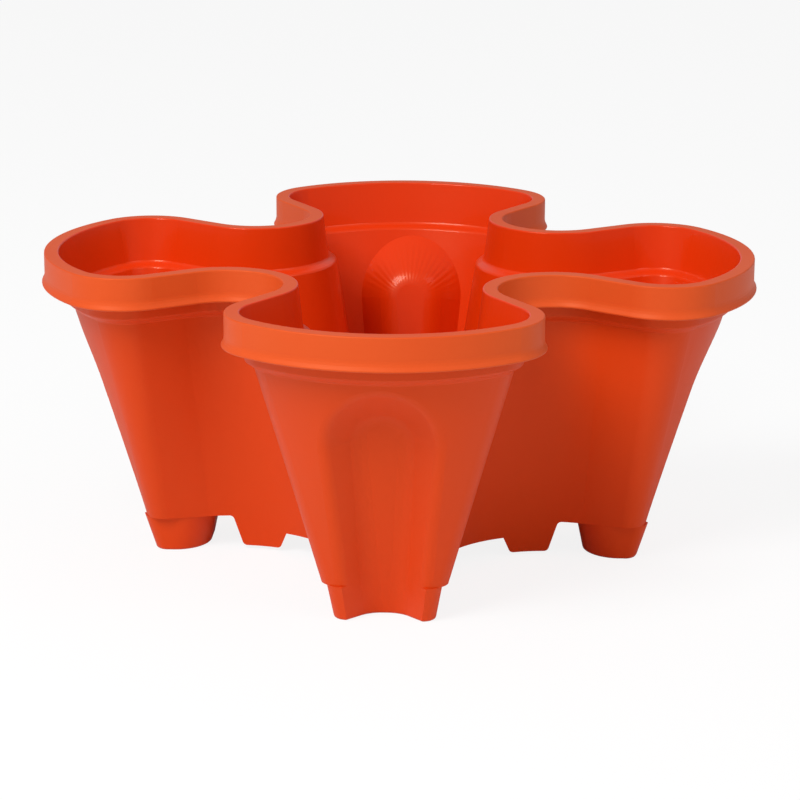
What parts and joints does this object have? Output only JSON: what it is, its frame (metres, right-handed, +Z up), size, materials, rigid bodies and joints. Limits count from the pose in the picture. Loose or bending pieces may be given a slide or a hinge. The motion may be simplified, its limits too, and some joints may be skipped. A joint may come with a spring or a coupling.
{
  "type": "stacking strawberry planter",
  "caption": "Four-lobed moulded planter tier with a hanging rim band, foot cups and slots that stack on the rim below, and a lift-out drain grid.",
  "frame": {"origin": "on the ground, under the centre of the pot", "axes": "+Z up; the four lobes lie on +X, +Y, -X and -Y, and the lobe on -Y faces the camera of the picture"},
  "size_m": [0.3518, 0.3518, 0.1505],
  "materials": {
    "shell": "orange-red moulded polypropylene, fine matt grain outside and smooth inside",
    "grid": "orange-red moulded polypropylene"
  },
  "bodies": {
    "pot": {"planter_shell": "shell"},
    "grid": {"drain_grid": "grid"}
  },
  "joints": [
    {"name": "grid_lift", "type": "slide", "parent": "pot", "child": "grid", "axis": [0, 0, 1], "range_m": [0, 0.18]}
  ]
}
